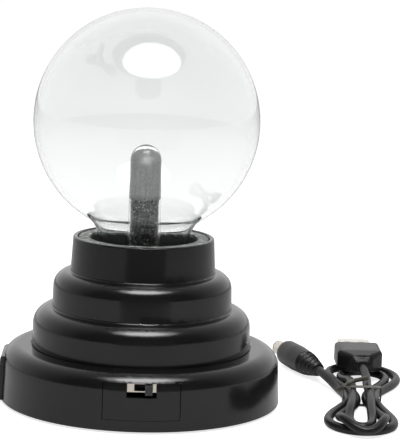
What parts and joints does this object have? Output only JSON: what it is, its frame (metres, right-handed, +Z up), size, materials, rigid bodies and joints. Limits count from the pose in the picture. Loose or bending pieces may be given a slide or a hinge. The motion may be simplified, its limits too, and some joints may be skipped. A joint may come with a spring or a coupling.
{
  "type": "plasma ball",
  "caption": "Plasma ball: clear glass globe with a central electrode stem on a round stepped black base, with slide switch, power jack and a tied power lead.",
  "frame": {"origin": "on the surface the rubber feet stand on, under the globe's centre", "axes": "+Z up along the globe's axis; -Y towards the front with the slide switch; -X towards the power jack"},
  "size_m": [0.1494, 0.12, 0.1406],
  "materials": {
    "black_abs": "glossy moulded black ABS",
    "black_abs_inner": "lightly textured black ABS",
    "grey_ring": "mottled grey, dull",
    "black_rubber": "dull black rubber",
    "clear_glass": "clear soda glass with a faint green tint",
    "graphite": "grey conductive coating with soft streaks",
    "steel_wool": "loose dark steel fibres",
    "zinc_steel": "zinc plated",
    "circuit_board": "green solder mask",
    "ferrite": "dark grey sintered ferrite",
    "bobbin_plastic": "black phenolic",
    "enamelled_copper": "enamelled copper turns under clear tape",
    "capacitor_sleeve": "dark blue sleeve with a pale stripe",
    "aluminium_fin": "mill finish",
    "component_epoxy": "black moulded epoxy",
    "resistor_body": "tan lacquer with coloured bands",
    "red_wire": "red PVC insulation",
    "black_wire": "black PVC insulation",
    "nickel": "warm nickel plate",
    "bright_steel": "bright nickel-plated steel",
    "black_knob": "fine matte black",
    "cell_jacket": "plain printed jacket with a bright end",
    "plug_pvc": "satin black moulded PVC",
    "cord_pvc": "satin black PVC",
    "tongue_plastic": "white insulator",
    "gold_contact": "gold plated",
    "tie_coat": "dull dark plastic over wire"
  },
  "bodies": {
    "base": {"base_shell": "black_abs", "switch_panel": "black_abs", "jack_panel": "black_abs", "stepped_cover": "black_abs", "neck_ring": "grey_ring", "neck_seat": "black_abs_inner", "neck_gasket": "black_rubber", "globe_glass": "clear_glass", "stem_glass": "clear_glass", "electrode_coating": "graphite", "steel_wool": "steel_wool", "bottom_cover": "black_abs_inner", "rubber_feet": "black_rubber", "cover_screws": "zinc_steel", "shell_screws": "zinc_steel", "board_screws": "zinc_steel", "main_board": "circuit_board", "transformer_core": "ferrite", "transformer_bobbin": "bobbin_plastic", "transformer_winding": "enamelled_copper", "supply_capacitor": "capacitor_sleeve", "tuning_capacitor": "capacitor_sleeve", "heat_sink": "aluminium_fin", "power_transistor": "component_epoxy", "resistors": "resistor_body", "high_voltage_lead": "red_wire", "switch_plate": "nickel", "switch_body": "component_epoxy", "switch_terminals": "nickel", "jack_body": "component_epoxy", "jack_pin": "nickel", "jack_terminals": "nickel", "jack_wires": "red_wire", "switch_wires": "red_wire", "battery_wires": "black_wire", "battery_plates": "nickel", "battery_springs": "nickel", "aaa_cell_1": "cell_jacket", "aaa_cell_2": "cell_jacket", "aaa_cell_3": "cell_jacket", "aaa_cell_4": "cell_jacket"},
    "switch_knob": {"switch_knob": "black_knob"},
    "battery_door": {"battery_door": "black_abs_inner"},
    "power_lead": {"dc_plug_barrel": "nickel", "dc_plug_insulator": "black_knob", "dc_plug_grip": "plug_pvc", "usb_plug_shell": "bright_steel", "usb_plug_tongue": "tongue_plastic", "usb_plug_contacts": "gold_contact", "usb_plug_grip": "plug_pvc", "lead_cord_dc": "cord_pvc", "lead_cord_usb": "cord_pvc", "lead_hank": "cord_pvc", "twist_tie": "tie_coat"}
  },
  "joints": [
    {"name": "switch_slide", "type": "slide", "parent": "base", "child": "switch_knob", "axis": [1, 0, 0], "range_m": [-0.0036, 0]},
    {"name": "battery_door_hinge", "type": "hinge", "parent": "base", "child": "battery_door", "pos_m": [-0.0263, 0, 0.0022], "axis": [0, 1, 0], "range_deg": [0, 75]},
    {"name": "power_lead_slide", "type": "slide", "parent": "base", "child": "power_lead", "axis": [1, 0, 0], "range_m": [0, 0.12]}
  ]
}
